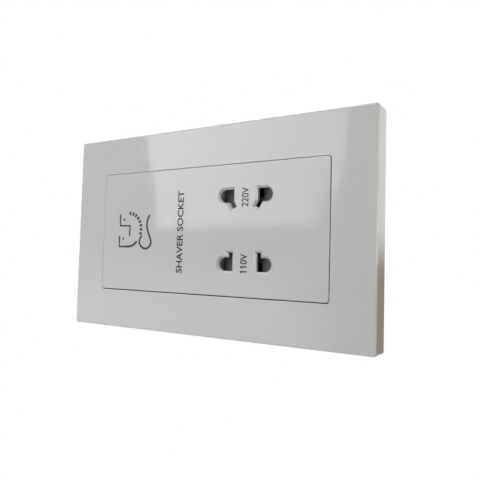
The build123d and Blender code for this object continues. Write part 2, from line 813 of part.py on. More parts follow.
with BuildPart() as terminal_screws:
    clamp_head = block_back - clamp_screw_sunk
    with BuildSketch(level(-clamp_head)):
        with Locations(*[(pole, 0) for pole in poles]):
            Circle(clamp_screw_radius)
    extrude(amount=clamp_screw_length)
    with BuildSketch(level(-clamp_head)):
        with Locations(*[(pole, 0) for pole in poles]):
            Rectangle(3 * clamp_screw_radius, driver_slot)
    extrude(amount=driver_depth, mode=Mode.SUBTRACT)
keep(terminal_screws, "terminal_screws")

# Leads: wires from the terminals to the cut-out, the coil and the core, and from the coil to the contacts
tail_lane = step_inside - lead_step_gap
coil_lane = coil_start - lead_coil_gap
core_lane = core_right + lead_wall_gap
carrier_lane = carrier_left - lead_wall_gap
tail_edge = tail_width / 2
live_z = flange_z / 2
neutral_z = live_z + lead_pitch
lead(
    "live",
    (poles[0], tail_lane, tail_edge),
    (poles[0], tail_lane, live_z),
    (core_lane, tail_lane, live_z),
    (core_lane, coil_lane, live_z),
    (core_x + cutout_width / 2, coil_lane, live_z),
)
cutout_end = core_x - cutout_width / 2
lead(
    "cutout",
    (cutout_end, coil_lane, live_z),
    (cutout_end - lead_end_pitch, coil_lane, live_z),
    (cutout_end - lead_end_pitch, coil_front, live_z),
)
lead(
    "neutral",
    (poles[1], tail_lane, tail_edge),
    (poles[1], tail_lane, neutral_z),
    (core_lane, tail_lane, neutral_z),
    (core_lane, coil_lane, neutral_z),
    (coil_right - lead_end_pitch, coil_lane, neutral_z),
    (coil_right - lead_end_pitch, coil_front, neutral_z),
)
lead(
    "earth",
    (poles[2], tail_lane, -tail_edge),
    (poles[2], tail_lane, -core_screw_z),
    (core_right, tail_lane, -core_screw_z),
)
strip_y = strip_lane - carrier_back
strip_x = outlet_x - leaf_root + leaf_thick / 2 - strip_width / 2
common_z = lead_pitch - flange_z / 2
lead(
    "common",
    (strip_x, strip_y, -leaf_thick / 2),
    (strip_x, strip_y, common_z),
    (core_lane, strip_y, common_z),
    (core_lane, coil_lane, common_z),
    (coil_right - lead_end_pitch, coil_lane, common_z),
    (coil_right - lead_end_pitch, coil_front, common_z),
)
tag_y = tag_lane - carrier_back
tag_x = outlet_x + leaf_root - leaf_thick / 2
for (name, up), place in zip(outlets, (2, 3)):
    tap_z = common_z - (place - 1) * lead_pitch
    tap_x = coil_right - place * lead_end_pitch
    lead(
        name,
        (tag_x, tag_y, up * outlet_z),
        (carrier_lane, tag_y, up * outlet_z),
        (carrier_lane, tag_y, tap_z),
        (carrier_lane, coil_lane, tap_z),
        (tap_x, coil_lane, tap_z),
        (tap_x, coil_front, tap_z),
    )
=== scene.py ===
import math

import bmesh
import bpy
from mathutils import Matrix, Vector


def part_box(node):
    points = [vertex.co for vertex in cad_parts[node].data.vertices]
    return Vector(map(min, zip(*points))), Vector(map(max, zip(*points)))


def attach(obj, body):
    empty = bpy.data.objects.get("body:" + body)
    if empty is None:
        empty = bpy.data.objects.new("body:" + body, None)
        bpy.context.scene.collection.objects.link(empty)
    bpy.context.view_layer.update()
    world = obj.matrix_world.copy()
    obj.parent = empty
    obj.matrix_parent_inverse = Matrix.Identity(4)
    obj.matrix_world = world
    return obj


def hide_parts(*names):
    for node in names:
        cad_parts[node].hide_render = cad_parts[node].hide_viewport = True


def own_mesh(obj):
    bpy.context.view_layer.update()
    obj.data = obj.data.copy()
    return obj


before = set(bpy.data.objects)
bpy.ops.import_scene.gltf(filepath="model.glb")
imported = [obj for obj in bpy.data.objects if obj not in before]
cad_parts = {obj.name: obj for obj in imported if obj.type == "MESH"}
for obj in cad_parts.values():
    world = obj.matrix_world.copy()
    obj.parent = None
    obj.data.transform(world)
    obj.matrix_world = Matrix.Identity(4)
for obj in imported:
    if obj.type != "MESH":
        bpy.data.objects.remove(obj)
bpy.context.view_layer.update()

# Rear housing: the deep tub behind the wall plane, injection moulded in pale grey plastic.
# Its mould was spark eroded, which leaves a fine matt texture, and it clips to the panel's skirt.
housing_colour = (0.46, 0.46, 0.44, 1.0)
housing_relief = 0.00003
noise_middle = 0.5
speck_radius = 0.03
smear_scale = 140.0


def add_node(tree, kind, inputs=(), **settings):
    """Adds a node to a tree. An input is a value, or another node's output to link from."""
    node = tree.nodes.new(kind)
    for name, value in settings.items():
        setattr(node, name, value)
    for key, value in dict(inputs).items():
        if isinstance(value, bpy.types.NodeSocket):
            tree.links.new(value, node.inputs[key])
        else:
            node.inputs[key].default_value = value
    return node


def maths(tree, operation, *values):
    """The output of one arithmetic node."""
    return add_node(tree, "ShaderNodeMath", dict(enumerate(values)), operation=operation).outputs[0]


def own_place(tree):
    """Where a point of the surface is, in the part's own frame."""
    return add_node(tree, "ShaderNodeTexCoord").outputs["Object"]


def noise(tree, place, scale, detail=2.0):
    """A soft noise between 0 and 1."""
    inputs = {"Vector": place, "Scale": scale, "Detail": detail}
    return add_node(tree, "ShaderNodeTexNoise", inputs).outputs[0]


def varied(tree, amount, spread, base):
    """A value that a noise moves up and down from its base."""
    return maths(tree, "MULTIPLY_ADD", maths(tree, "SUBTRACT", amount, noise_middle), spread, base)


def blended(tree, share, first, second):
    """Two colours mixed by a share."""
    return add_node(tree, "ShaderNodeMix", {0: share, 6: first, 7: second}, data_type="RGBA").outputs[2]


def surface_group(name, inputs):
    """Starts a node group that gives a colour, a roughness and a height, with its input sockets."""
    tree = bpy.data.node_groups.new(name, "ShaderNodeTree")
    for label, value in inputs.items():
        kind = "NodeSocketColor" if isinstance(value, tuple) else "NodeSocketFloat"
        tree.interface.new_socket(label, in_out="INPUT", socket_type=kind).default_value = value
    for label, kind in (("Colour", "Color"), ("Roughness", "Float"), ("Height", "Float")):
        tree.interface.new_socket(label, in_out="OUTPUT", socket_type="NodeSocket" + kind)
    return tree, tree.nodes.new("NodeGroupInput").outputs


def end_group(tree, colour, roughness, height):
    """Ends a node group in what it gives."""
    add_node(tree, "NodeGroupOutput", {"Colour": colour, "Roughness": roughness, "Height": height})


moulded, given = surface_group(
    "moulded_surface",
    {
        "Colour": (0.5, 0.5, 0.5, 1.0),
        "Tone Spread": 0.06,
        "Tone Scale": 30.0,
        "Speck Colour": (0.2, 0.19, 0.17, 1.0),
        "Speck Share": 0.0,
        "Speck Scale": 110.0,
        "Roughness": 0.4,
        "Roughness Spread": 0.08,
        "Wave Scale": 45.0,
        "Grain Scale": 2600.0,
        "Grain Share": 0.5,
    },
)
place = own_place(moulded)
tone = varied(moulded, noise(moulded, place, given["Tone Scale"], detail=3.0), given["Tone Spread"], 1.0)
toned = add_node(moulded, "ShaderNodeVectorMath", {0: given["Colour"], "Scale": tone}, operation="SCALE")
specks = add_node(moulded, "ShaderNodeTexVoronoi", {"Vector": place, "Scale": given["Speck Scale"]}).outputs
speck_mask = maths(
    moulded,
    "MULTIPLY",
    maths(moulded, "LESS_THAN", specks["Distance"], speck_radius),
    maths(moulded, "LESS_THAN", specks["Color"], given["Speck Share"]),
)
smear = noise(moulded, place, smear_scale, detail=4.0)
wave = noise(moulded, place, given["Wave Scale"], detail=1.0)
grain = noise(moulded, place, given["Grain Scale"])
relief = add_node(moulded, "ShaderNodeMix", {0: given["Grain Share"], 2: wave, 3: grain})
end_group(
    moulded,
    blended(moulded, speck_mask, toned.outputs["Vector"], given["Speck Colour"]),
    varied(moulded, smear, given["Roughness Spread"], given["Roughness"]),
    relief.outputs[0],
)


def skinned(name, group, relief_depth, sizes):
    """A finish with its colour, roughness and relief from a node group, and its shader's inputs."""
    finish = bpy.data.materials.new(name)
    finish.use_nodes = True
    tree = finish.node_tree
    skin = add_node(tree, "ShaderNodeGroup", sizes, node_tree=group).outputs
    bump = add_node(tree, "ShaderNodeBump", {"Height": skin["Height"], "Distance": relief_depth})
    shader = tree.nodes["Principled BSDF"].inputs
    tree.links.new(skin["Colour"], shader["Base Color"])
    tree.links.new(skin["Roughness"], shader["Roughness"])
    tree.links.new(bump.outputs["Normal"], shader["Normal"])
    return finish, shader


def plastic(name, relief_depth, sizes, ior=1.5, depth=0.0):
    """A moulded plastic. Depth is how far light goes into a pale one."""
    finish, shader = skinned(name, moulded, relief_depth, sizes)
    shader["IOR"].default_value = ior
    if depth:
        shader["Subsurface Weight"].default_value = 1.0
        shader["Subsurface Radius"].default_value = (1.0, 1.0, 1.0)
        shader["Subsurface Scale"].default_value = depth
    return finish


def dress(finish, *names):
    """Gives the frame's own pieces their finish."""
    for name in names:
        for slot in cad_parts[name].material_slots:
            slot.material = finish


housing_plastic = plastic(
    "housing_plastic",
    housing_relief,
    {"Colour": housing_colour, "Roughness": 0.52, "Grain Share": 0.8, "Tone Spread": 0.05},
)
dress(housing_plastic, "rear_housing")

# Transformer: thin steel sheets stacked into a core, dipped in varnish, with a moulded bobbin on its
# middle leg. Two coils of enamelled copper are wound on the bobbin, and four screws hold the core down.
sheet_thickness = 0.0005
sheet_colour = (0.11, 0.1, 0.095, 1.0)
sheet_relief = 0.00006
varnish_colour = (0.05, 0.035, 0.022, 1.0)
coat_roughness = 0.2
bobbin_colour = (0.45, 0.39, 0.26, 1.0)
bobbin_relief = 0.00003
wire_sizes = {"primary_winding": 0.00034, "secondary_winding": 0.00052}
wire_relief_share = 0.4
enamel_colour = (0.42, 0.13, 0.045, 1.0)
enamel_shadow = (0.16, 0.04, 0.016, 1.0)
line_drift_scale = 180.0
line_gloss_spread = 0.2
metal_relief = 0.000004
zinc_colour = (0.55, 0.55, 0.53, 1.0)
zinc_tarnish = (0.36, 0.35, 0.32, 1.0)
tarnish_range = (0.42, 0.7)
draw_stretch = (1.0, 0.06, 1.0)
cutout_colour = (0.022, 0.022, 0.023, 1.0)
cutout_relief = 0.00002

metal, given = surface_group(
    "metal_surface",
    {
        "Colour": (0.5, 0.5, 0.5, 1.0),
        "Tarnish Colour": (0.3, 0.28, 0.25, 1.0),
        "Tarnish Share": 0.4,
        "Tarnish Scale": 260.0,
        "Roughness": 0.3,
        "Roughness Spread": 0.16,
        "Draw Scale": 2200.0,
    },
)
place = own_place(metal)
clouds = noise(metal, place, given["Tarnish Scale"], detail=5.0)
cloud_mask = add_node(
    metal,
    "ShaderNodeMapRange",
    {
        "Value": clouds,
        "From Min": tarnish_range[0],
        "From Max": tarnish_range[1],
        "To Max": given["Tarnish Share"],
    },
)
stretched = add_node(metal, "ShaderNodeMapping", {"Vector": place, "Scale": draw_stretch})
end_group(
    metal,
    blended(metal, cloud_mask.outputs[0], given["Colour"], given["Tarnish Colour"]),
    varied(metal, clouds, given["Roughness Spread"], given["Roughness"]),
    noise(metal, stretched.outputs[0], given["Draw Scale"]),
)


def bare_metal(name, relief_depth, sizes):
    """A bare or plated metal, drawn or pressed, with a little tarnish."""
    finish, shader = skinned(name, metal, relief_depth, sizes)
    shader["Metallic"].default_value = 1.0
    return finish


lines, given = surface_group(
    "laid_lines",
    {
        "Along": 0.0,
        "Pitch": 0.0005,
        "Ridge Colour": (0.5, 0.5, 0.5, 1.0),
        "Groove Colour": (0.2, 0.2, 0.2, 1.0),
        "Wander": 0.3,
        "Roughness": 0.4,
    },
)
drift = noise(lines, own_place(lines), line_drift_scale)
turns = varied(lines, drift, given["Wander"], maths(lines, "DIVIDE", given["Along"], given["Pitch"]))
ridges = maths(lines, "ABSOLUTE", maths(lines, "SINE", maths(lines, "MULTIPLY", turns, math.pi)))
end_group(
    lines,
    blended(lines, ridges, given["Groove Colour"], given["Ridge Colour"]),
    varied(lines, drift, line_gloss_spread, given["Roughness"]),
    ridges,
)


def axes_of(tree, vector):
    """A vector's shares along X, Y and Z."""
    return add_node(tree, "ShaderNodeSeparateXYZ", {0: vector}).outputs


def lined(name, axis, relief_depth, sizes, metallic, coat):
    """A finish of close parallel lines across one axis: stacked sheets, or turns of wire."""
    finish, shader = skinned(name, lines, relief_depth, sizes)
    tree = finish.node_tree
    tree.links.new(axes_of(tree, own_place(tree))[axis], tree.nodes["Group"].inputs["Along"])
    shader["Metallic"].default_value = metallic
    shader["Coat Weight"].default_value = coat
    shader["Coat Roughness"].default_value = coat_roughness
    return finish


lamination_steel = lined(
    "lamination_steel",
    "Y",
    sheet_relief,
    {
        "Pitch": sheet_thickness,
        "Ridge Colour": sheet_colour,
        "Groove Colour": varnish_colour,
        "Wander": 0.25,
        "Roughness": 0.42,
    },
    metallic=0.7,
    coat=0.25,
)
dress(lamination_steel, "transformer_core")
bobbin_plastic = plastic(
    "bobbin_plastic",
    bobbin_relief,
    {"Colour": bobbin_colour, "Roughness": 0.5, "Tone Scale": 320.0, "Tone Spread": 0.2},
)
dress(bobbin_plastic, "bobbin")
for coil, wire in wire_sizes.items():
    copper = lined(
        "enamelled_" + coil,
        "Z",
        wire * wire_relief_share,
        {
            "Pitch": wire,
            "Ridge Colour": enamel_colour,
            "Groove Colour": enamel_shadow,
            "Wander": 0.8,
            "Roughness": 0.34,
        },
        metallic=0.6,
        coat=0.5,
    )
    dress(copper, coil)
zinc = bare_metal(
    "zinc_plate",
    metal_relief,
    {"Colour": zinc_colour, "Tarnish Colour": zinc_tarnish, "Tarnish Share": 0.5},
)
dress(zinc, "core_screws")
cutout_case = plastic("cutout_case", cutout_relief, {"Colour": cutout_colour, "Roughness": 0.42})
dress(cutout_case, "thermal_cutout")

# Terminal block: a dark grey moulding on the housing's step, where the wires in the wall end.
# Three brass clamps sit in its poles, each with a plated screw, and two screws hold the block.
block_colour = (0.034, 0.034, 0.037, 1.0)
block_relief = 0.00003
brass_colour = (0.66, 0.45, 0.17, 1.0)
brass_tarnish = (0.4, 0.25, 0.09, 1.0)

block_plastic = plastic("block_plastic", block_relief, {"Colour": block_colour, "Roughness": 0.48})
dress(block_plastic, "terminal_block")
brass = bare_metal(
    "contact_brass",
    metal_relief,
    {"Colour": brass_colour, "Tarnish Colour": brass_tarnish, "Tarnish Share": 0.55, "Roughness": 0.26},
)
dress(brass, "terminal_live", "terminal_neutral", "terminal_earth")
dress(zinc, "terminal_screws", "block_screws")

# Terminal marks: two letters and the earth sign below the poles, which say where each wire goes.
# They are raised beads, cut into the mould and so one with the housing, and they read from behind.
mark_width = 0.0009
mark_proud = 0.00045
mark_drop = 0.0072
mark_strokes = {
    "live": (((-1.1, 2.1), (-1.1, -2.1)), ((-1.1, -2.1), (1.3, -2.1))),
    "neutral": (((-1.35, -2.1), (-1.35, 2.1)), ((-1.35, 2.1), (1.35, -2.1)), ((1.35, -2.1), (1.35, 2.1))),
    "earth": (
        ((0.0, 2.1), (0.0, 0.2)),
        ((-2.1, 0.2), (2.1, 0.2)),
        ((-1.35, -0.95), (1.35, -0.95)),
        ((-0.6, -2.1), (0.6, -2.1)),
    ),
}
millimetre = 0.001
bead_steps = 2
scene = bpy.context.scene


def held(data):
    """A passing object that holds a curve, text or an empty mesh until its plain mesh is taken."""
    holder = bpy.data.objects.new("holder", data)
    scene.collection.objects.link(holder)
    return holder


def plain_mesh(holder):
    """The plain mesh of what a passing object holds. The object goes."""
    evaluated = holder.evaluated_get(bpy.context.evaluated_depsgraph_get())
    mesh = bpy.data.meshes.new_from_object(evaluated)
    bpy.data.objects.remove(holder)
    return mesh


def stroke_mesh(name, strokes, width):
    """Round beads along strokes, each through its points across and up in millimetres."""
    beads = bpy.data.curves.new(name, "CURVE")
    beads.dimensions = "3D"
    beads.bevel_depth = width / 2
    beads.bevel_resolution = bead_steps
    beads.use_fill_caps = True
    for stroke in strokes:
        spline = beads.splines.new("POLY")
        spline.points.add(len(stroke) - 1)
        for point, (x, z) in zip(spline.points, stroke):
            point.co = (x * millimetre, 0, z * millimetre, 1)
    return plain_mesh(held(beads))


def made_piece(name, mesh, finish=None):
    """A piece at the origin, with its place in its mesh. Its finish is given here, or by its tree."""
    mesh.name = name
    if finish:
        mesh.materials.clear()
        mesh.materials.append(finish)
    piece = bpy.data.objects.new(name, mesh)
    scene.collection.objects.link(piece)
    return piece


block_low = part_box("terminal_block")[0]
flattened = Matrix.Diagonal((1.0, 2 * mark_proud / mark_width, 1.0, 1.0))
turned_flat = Matrix.Rotation(math.pi, 4, "Z") @ flattened
for pole, strokes in mark_strokes.items():
    low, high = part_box("terminal_" + pole)
    mesh = stroke_mesh("mark_" + pole, strokes, mark_width)
    spot = Matrix.Translation(((low.x + high.x) / 2, block_low.y, block_low.z - mark_drop))
    mesh.transform(spot @ turned_flat)
    mark = made_piece("mark_" + pole, mesh, housing_plastic)
    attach(mark, "socket")

# Leads: single stranded wires in soft insulation, cut to length and laid in the free lanes of the tub.
# Their ends are soldered to the coils and the contacts, and clamped in the terminals.
lead_colours = {
    "lead_live": (0.13, 0.05, 0.022, 1.0),
    "lead_cutout": (0.56, 0.56, 0.52, 1.0),
    "lead_neutral": (0.03, 0.085, 0.27, 1.0),
    "lead_common": (0.016, 0.016, 0.017, 1.0),
    "lead_220": (0.36, 0.022, 0.018, 1.0),
    "lead_110": (0.56, 0.56, 0.52, 1.0),
}
lead_roughness = 0.38
lead_relief = 0.00001
earth_green = (0.035, 0.19, 0.03, 1.0)
earth_yellow = (0.62, 0.44, 0.03, 1.0)
earth_stripe_turn = 0.2

for lead, colour in lead_colours.items():
    insulation = plastic(
        lead + "_insulation",
        lead_relief,
        {"Colour": colour, "Roughness": lead_roughness, "Tone Scale": 200.0},
    )
    dress(insulation, lead)
earth_insulation = plastic("lead_earth_insulation", lead_relief, {"Roughness": lead_roughness})
tree = earth_insulation.node_tree
turn = axes_of(tree, add_node(tree, "ShaderNodeTexCoord").outputs["Normal"])["Y"]
stripes = blended(tree, maths(tree, "GREATER_THAN", turn, earth_stripe_turn), earth_green, earth_yellow)
tree.links.new(stripes, tree.nodes["Group"].inputs["Colour"])
dress(earth_insulation, "lead_earth")

# Contact carrier: a matt black block screwed to the back of the panel, with a pocket behind each aperture.
# The contacts are pressed from brass strip and pushed into the pockets, where they grip a pin by spring.
carrier_colour = (0.016, 0.016, 0.0175, 1.0)
carrier_relief = 0.00003

carrier_plastic = plastic(
    "carrier_plastic", carrier_relief, {"Colour": carrier_colour, "Roughness": 0.5, "Grain Share": 0.7}
)
dress(carrier_plastic, "contact_carrier")
dress(brass, "common_contact", "contact_220", "contact_110")
dress(zinc, "carrier_screws")

# Shutters: two dark grey sliders that close the apertures, each with a polished ramp for a pin to push.
# They are moulded in a slippery plastic, so they shine a little, and they run in tracks of the panel.
shutter_colour = (0.09, 0.091, 0.092, 1.0)
shutter_relief = 0.00001

shutter_plastic = plastic(
    "shutter_plastic",
    shutter_relief,
    {
        "Colour": shutter_colour,
        "Roughness": 0.36,
        "Grain Share": 0.3,
        "Tone Spread": 0.1,
        "Tone Scale": 90.0,
    },
)
dress(shutter_plastic, "shutter_220", "shutter_110")

# Shutter springs: bright drawn steel wire wound into a light coil, with its end turns closed.
# One stands between each shutter and the end of its track, and in use is pressed short as the shutter
# slides.
# Here the coil keeps one length.
spring_wire = 0.0004
spring_turns = 6.0
spring_steps = 145
spring_sides = 10
spring_closing = ((0.15, 0.04), (0.85, 0.96))
spring_colour = (0.52, 0.52, 0.5, 1.0)
spring_relief = 0.000003

spring_steel = bare_metal(
    "spring_steel", spring_relief, {"Colour": spring_colour, "Tarnish Share": 0.2, "Roughness": 0.22}
)


def shape_tree(name, inputs):
    """Starts a geometry tree with named inputs, and gives its tree and its input sockets."""
    tree = bpy.data.node_groups.new(name, "GeometryNodeTree")
    tree.interface.new_socket("Geometry", in_out="OUTPUT", socket_type="NodeSocketGeometry")
    for label, kind in inputs.items():
        tree.interface.new_socket(label, in_out="INPUT", socket_type="NodeSocket" + kind)
    return tree, tree.nodes.new("NodeGroupInput").outputs


def end_tree(tree, geometry, finish):
    """Ends a geometry tree in real faces that carry their finish."""
    real = add_node(tree, "GeometryNodeRealizeInstances", {0: geometry})
    dressed = add_node(tree, "GeometryNodeSetMaterial", {"Geometry": real.outputs[0], "Material": finish})
    add_node(tree, "NodeGroupOutput", {"Geometry": dressed.outputs[0]})


def grown(name, tree, sizes):
    """The piece that a geometry tree gives for these sizes, as a plain mesh."""
    holder = held(bpy.data.meshes.new("holder"))
    modifier = holder.modifiers.new("shape", "NODES")
    modifier.node_group = tree
    for item in tree.interface.items_tree:
        if item.in_out == "INPUT":
            modifier[item.identifier] = sizes[item.name]
    return made_piece(name, plain_mesh(holder))


coil, given = shape_tree(
    "wound_spring",
    {
        "Start": "Vector",
        "Length": "Float",
        "Radius": "Float",
        "Wire": "Float",
        "Turns": "Float",
        "Finish": "Material",
    },
)
straight = add_node(coil, "GeometryNodeCurvePrimitiveLine")
stepped = add_node(coil, "GeometryNodeResampleCurve", {"Curve": straight.outputs[0], "Count": spring_steps})
share = add_node(coil, "GeometryNodeSplineParameter").outputs["Factor"]
closing = add_node(coil, "ShaderNodeFloatCurve", {"Value": share})
for along, wound_share in spring_closing:
    closing.mapping.curves[0].points.new(along, wound_share)
for point in closing.mapping.curves[0].points:
    point.handle_type = "VECTOR"
closing.mapping.update()
angle = maths(coil, "MULTIPLY", maths(coil, "MULTIPLY", share, given["Turns"]), 2 * math.pi)
wound = add_node(
    coil,
    "ShaderNodeCombineXYZ",
    {
        "X": maths(coil, "MULTIPLY", closing.outputs[0], given["Length"]),
        "Y": maths(coil, "MULTIPLY", maths(coil, "COSINE", angle), given["Radius"]),
        "Z": maths(coil, "MULTIPLY", maths(coil, "SINE", angle), given["Radius"]),
    },
)
placed = add_node(coil, "ShaderNodeVectorMath", {0: wound.outputs[0], 1: given["Start"]}, operation="ADD")
helix = add_node(
    coil, "GeometryNodeSetPosition", {"Geometry": stepped.outputs[0], "Position": placed.outputs[0]}
)
round_wire = add_node(
    coil,
    "GeometryNodeCurvePrimitiveCircle",
    {"Resolution": spring_sides, "Radius": maths(coil, "MULTIPLY", given["Wire"], 0.5)},
)
tube = add_node(
    coil,
    "GeometryNodeCurveToMesh",
    {"Curve": helix.outputs[0], "Profile Curve": round_wire.outputs[0], "Fill Caps": True},
)
smooth = add_node(coil, "GeometryNodeSetShadeSmooth", {0: tube.outputs[0]})
end_tree(coil, smooth.outputs[0], given["Finish"])

for voltage in ("220", "110"):
    low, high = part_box("shutter_spring_" + voltage)
    spring = grown(
        "coil_spring_" + voltage,
        coil,
        {
            "Start": (low.x + spring_wire / 2, (low.y + high.y) / 2, (low.z + high.z) / 2),
            "Length": high.x - low.x - spring_wire,
            "Radius": (high.y - low.y - spring_wire) / 2,
            "Wire": spring_wire,
            "Turns": spring_turns,
            "Finish": spring_steel,
        },
    )
    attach(spring, "socket")
    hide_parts("shutter_spring_" + voltage)
    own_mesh(spring)

# Socket panel: the white insert in the frame, moulded in the same glossy plastic on a polished mould.
# It has bowed a hair as it cooled, so a lamp shows narrower in it than in the frame.
white_depth = 0.0005
white_look = {
    "Colour": (0.545, 0.545, 0.539, 1.0),
    "Tone Spread": 0.02,
    "Grain Scale": 900.0,
    "Speck Share": 0.08,
    "Speck Colour": (0.36, 0.355, 0.34, 1.0),
}
panel_relief = 0.00002
panel_ior = 1.44
panel_bow = 0.095
panel_bow_middle = -0.014

panel_white = plastic(
    "panel_white",
    panel_relief,
    {**white_look, "Roughness": 0.07, "Roughness Spread": 0.06, "Wave Scale": 38.0, "Grain Share": 0.04},
    panel_ior,
    white_depth,
)
tree = panel_white.node_tree
from_middle = maths(tree, "SUBTRACT", axes_of(tree, own_place(tree))["X"], panel_bow_middle)
bow_height = maths(tree, "MULTIPLY", maths(tree, "MULTIPLY", from_middle, from_middle), -panel_bow)
bowed = add_node(tree, "ShaderNodeBump", {"Height": bow_height, "Distance": 1.0})
tree.links.new(bowed.outputs["Normal"], tree.nodes["Bump"].inputs["Normal"])
dress(panel_white, "socket_panel")

# Print: dark grey ink, pad printed on the panel in one pass and baked, so it lies a hair proud.
# The words and the voltages read upwards, and two short strokes give the figure ones their flags.
ink_colour = (0.018, 0.018, 0.019, 1.0)
ink_relief = 0.000004
ink_proud = 0.00002
ink_depth = 0.00003
words = {
    "print_220": {"text": "220V", "across": (0.0191, 0.02226), "along": (0.0089, 0.0166), "weight": 0.01},
    "print_110": {"text": "110V", "across": (0.0191, 0.0222), "along": (-0.0165, -0.0093), "weight": 0.018},
    "print_words": {
        "text": "SHAVER SOCKET",
        "across": (-0.01265, -0.0095),
        "along": (-0.0178, 0.0167),
        "weight": 0.021,
    },
}
letter_thickness = 0.5
letter_steps = 4
flag_width = 0.00045
flag_strokes = (((19.3, -16.27), (19.95, -16.8)), ((19.3, -14.41), (19.95, -14.94)))

panel_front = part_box("socket_panel")[0].y
ink_back = panel_front + ink_depth - ink_proud
ink = plastic(
    "print_ink",
    ink_relief,
    {"Colour": ink_colour, "Roughness": 0.4, "Tone Spread": 0.3, "Tone Scale": 700.0},
)


def print_on_panel(name, mesh):
    """Lays a finished ink mesh on the panel."""
    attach(made_piece(name, mesh, ink), "socket")


def print_strokes(name, strokes, width):
    """Lays ink strokes on the panel, each along its points across and up the panel in millimetres."""
    mesh = stroke_mesh(name, strokes, width)
    for vertex in mesh.vertices:
        vertex.co.y = panel_front + vertex.co.y / width * 2 * ink_proud
    print_on_panel(name, mesh)


for name, word in words.items():
    letters = bpy.data.curves.new(name, "FONT")
    letters.body = word["text"]
    letters.extrude = letter_thickness
    letters.offset = word["weight"]
    letters.resolution_u = letter_steps
    mesh = plain_mesh(held(letters))
    low = Vector([min(v.co[i] for v in mesh.vertices) for i in range(3)])
    high = Vector([max(v.co[i] for v in mesh.vertices) for i in range(3)])
    left, right = word["across"]
    start, end = word["along"]
    for vertex in mesh.vertices:
        run, rise, thick = [(vertex.co[i] - low[i]) / (high[i] - low[i]) for i in range(3)]
        vertex.co = (
            right - rise * (right - left),
            ink_back - thick * ink_depth,
            start + run * (end - start),
        )
    print_on_panel(name, mesh)
print_strokes("print_flags", flag_strokes, flag_width)

# Printed sign: the usual sign for a shaver supply, in plain strokes, dots and a row of short ticks.
# It is part of the same print, so it has the same ink and the same thickness.
stroke_width = 0.00093
sign_strokes = (
    ((-45.81, 7.6), (-45.7, 2.45), (-39.7, 2.4), (-39.85, -2.1)),
    ((-46.05, -2.3), (-45.95, -6.95), (-39.9, -6.95), (-37.7, -6.4), (-36.4, -5.5), (-35.3, -4.5)),
    (
        (-32.5, -2.05),
        (-33.6, -3.5),
        (-33.85, -5.1),
        (-33.0, -6.6),
        (-31.55, -7.55),
        (-30.0, -7.8),
        (-28.4, -7.3),
        (-27.35, -6.2),
        (-27.0, -4.7),
        (-27.7, -2.9),
        (-28.7, -1.0),
        (-29.55, 1.2),
        (-29.68, 3.1),
        (-29.3, 5.15),
        (-28.25, 7.0),
    ),
)
sign_dots = ((-43.4, 5.2), (-43.65, -3.4))
dot_width = 0.0009
dot_height = 0.0014
dot_sides = 16
tick_arc = {"Start": (-39.75, 7.9), "Middle": (-34.65, 5.35), "End": (-33.3, -1.1)}
tick_count = 8
tick_width = 0.00105
tick_length = 0.0015

print_strokes("print_sign", sign_strokes, stroke_width)

ticks, given = shape_tree(
    "row_of_ticks",
    {
        "Start": "Vector",
        "Middle": "Vector",
        "End": "Vector",
        "Count": "Int",
        "Size": "Vector",
        "Finish": "Material",
    },
)
arc_points = {label: given[label] for label in tick_arc}
arc = add_node(ticks, "GeometryNodeCurveArc", arc_points, mode="POINTS")
spaced = add_node(ticks, "GeometryNodeCurveToPoints", {"Curve": arc.outputs[0], "Count": given["Count"]})
turned = add_node(
    ticks,
    "FunctionNodeAlignRotationToVector",
    {"Vector": spaced.outputs["Tangent"]},
    axis="X",
    pivot_axis="Y",
)
tick = add_node(ticks, "GeometryNodeMeshCube", {"Size": given["Size"]})
row = add_node(
    ticks,
    "GeometryNodeInstanceOnPoints",
    {"Points": spaced.outputs["Points"], "Instance": tick.outputs[0], "Rotation": turned.outputs[0]},
)
end_tree(ticks, row.outputs[0], given["Finish"])

ink_middle = ink_back - ink_depth / 2
tick_places = {label: (x * millimetre, ink_middle, z * millimetre) for label, (x, z) in tick_arc.items()}
tick_size = (tick_width, ink_depth, tick_length)
tick_row = grown(
    "print_ticks", ticks, {**tick_places, "Count": tick_count, "Size": tick_size, "Finish": ink}
)
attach(tick_row, "socket")

dots = bmesh.new()
flat_dot = Matrix.Diagonal((dot_width, ink_depth, dot_height, 1.0)) @ Matrix.Rotation(math.pi / 2, 4, "X")
for x, z in sign_dots:
    disc = bmesh.ops.create_cone(
        dots, cap_ends=True, segments=dot_sides, radius1=0.5, radius2=0.5, depth=1.0
    )
    spot = Matrix.Translation((x * millimetre, ink_middle, z * millimetre))
    bmesh.ops.transform(dots, verts=disc["verts"], matrix=spot @ flat_dot)
dot_mesh = bpy.data.meshes.new("print_dots")
dots.to_mesh(dot_mesh)
dots.free()
print_on_panel("print_dots", dot_mesh)

# Mounting frame: a stiff satin moulding that two screws hold to the wall box, under the cover.
# Its face is hidden in use, so it is left as it comes from the mould.
mounting_colour = (0.055, 0.056, 0.06, 1.0)
mounting_relief = 0.00002

frame_plastic = plastic(
    "frame_plastic", mounting_relief, {"Colour": mounting_colour, "Roughness": 0.42, "Grain Share": 0.6}
)
dress(frame_plastic, "mounting_frame")

# Cover frame: the white frame that shows on the wall, clipped over the mounting frame.
# It is moulded in glossy plastic on a mirror-polished mould, so a lamp shows in it with a clean edge.
cover_relief = 0.000016
cover_ior = 1.47

cover_white = plastic(
    "cover_white",
    cover_relief,
    {**white_look, "Roughness": 0.05, "Roughness Spread": 0.04, "Wave Scale": 30.0, "Grain Share": 0.02},
    cover_ior,
    white_depth,
)
dress(cover_white, "cover_frame")

